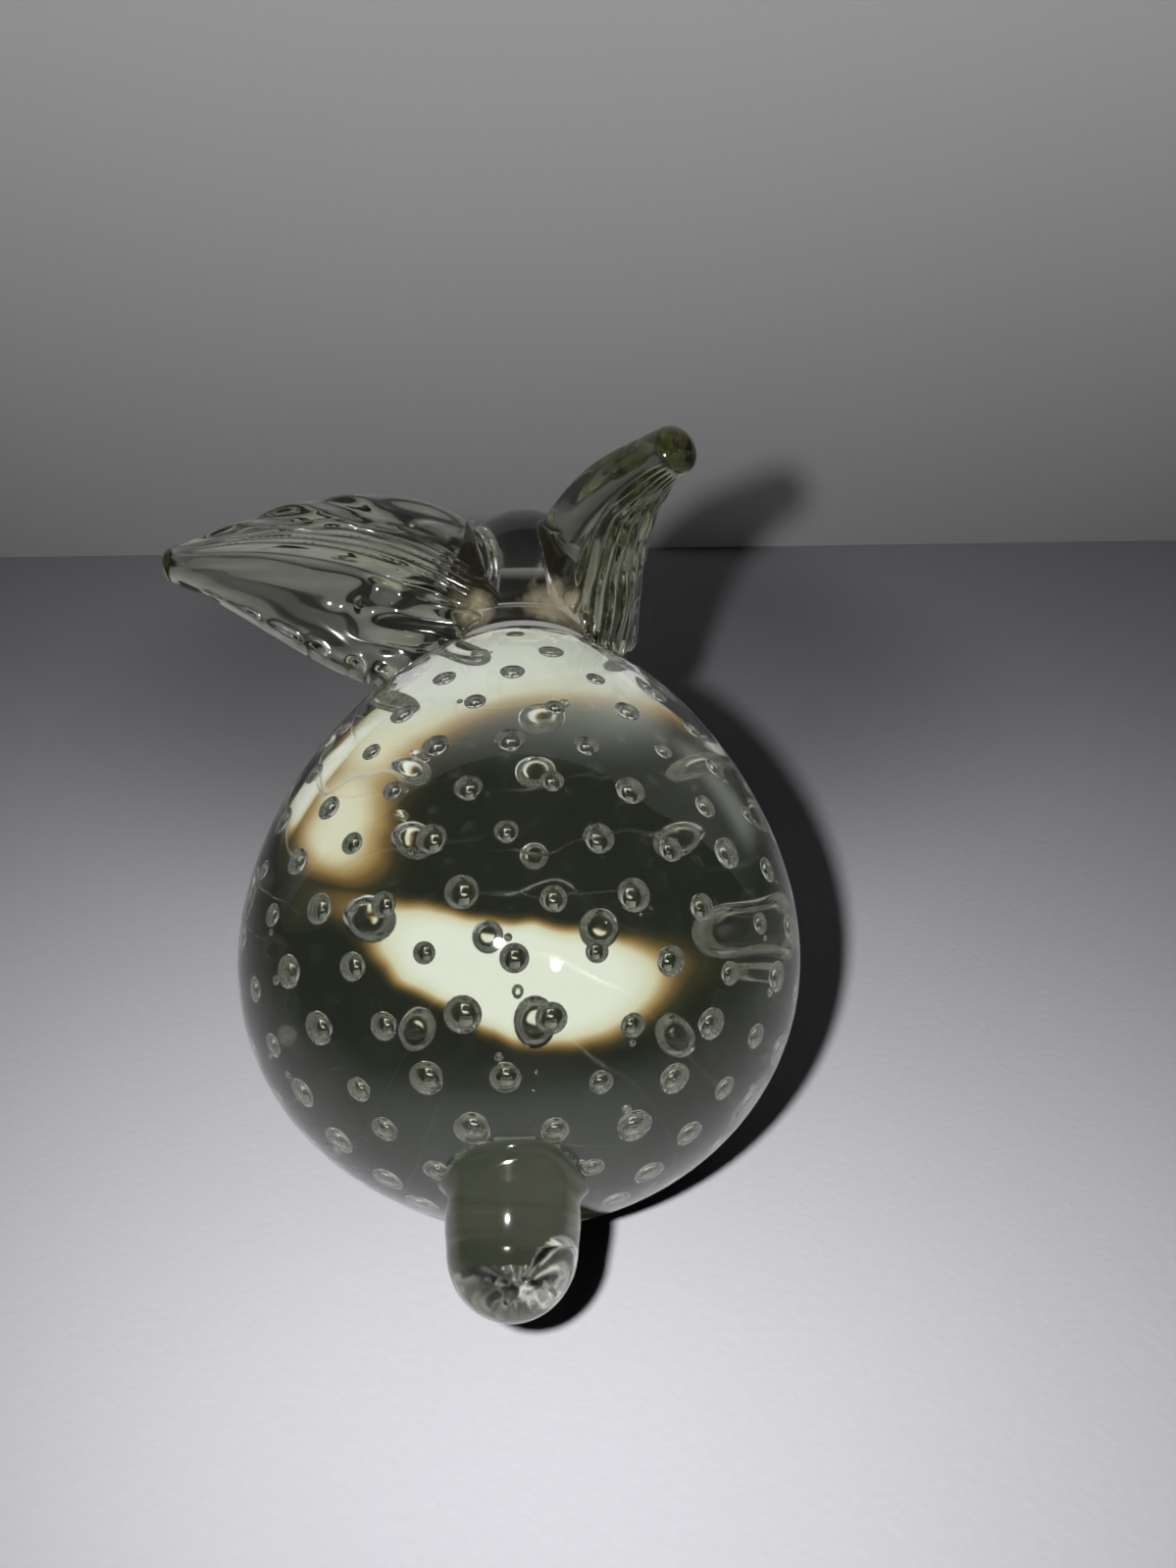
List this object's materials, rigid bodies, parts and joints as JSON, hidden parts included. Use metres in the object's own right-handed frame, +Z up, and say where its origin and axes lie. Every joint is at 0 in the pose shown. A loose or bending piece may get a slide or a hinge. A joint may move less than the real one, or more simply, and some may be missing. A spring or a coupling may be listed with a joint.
{
  "type": "glass bunny paperweight",
  "caption": "Clear glass bunny paperweight: leaning egg body with a lattice of trapped air bubbles, ball head, drawn ridged ears, stub tail and a ground flat base.",
  "frame": {"origin": "on the ground flat of the base, straight below the middle of the widest ring of the body", "axes": "+Z up out of the base, +Y the way the bunny faces, +X to its right"},
  "size_m": [0.0792, 0.0927, 0.086],
  "materials": {
    "bubble_glass": "clear glass with trapped air bubbles",
    "casing_glass": "clear fire-polished glass, ground flat with fine scratches below",
    "head_glass": "clear fire-polished glass",
    "drawn_glass": "clear drawn glass with a faint green tint and tool ridges"
  },
  "bodies": {
    "root": {"core_gather": "bubble_glass", "casing_gather": "casing_glass", "head": "head_glass", "left_ear": "drawn_glass", "right_ear": "drawn_glass", "tail": "drawn_glass"}
  },
  "joints": []
}
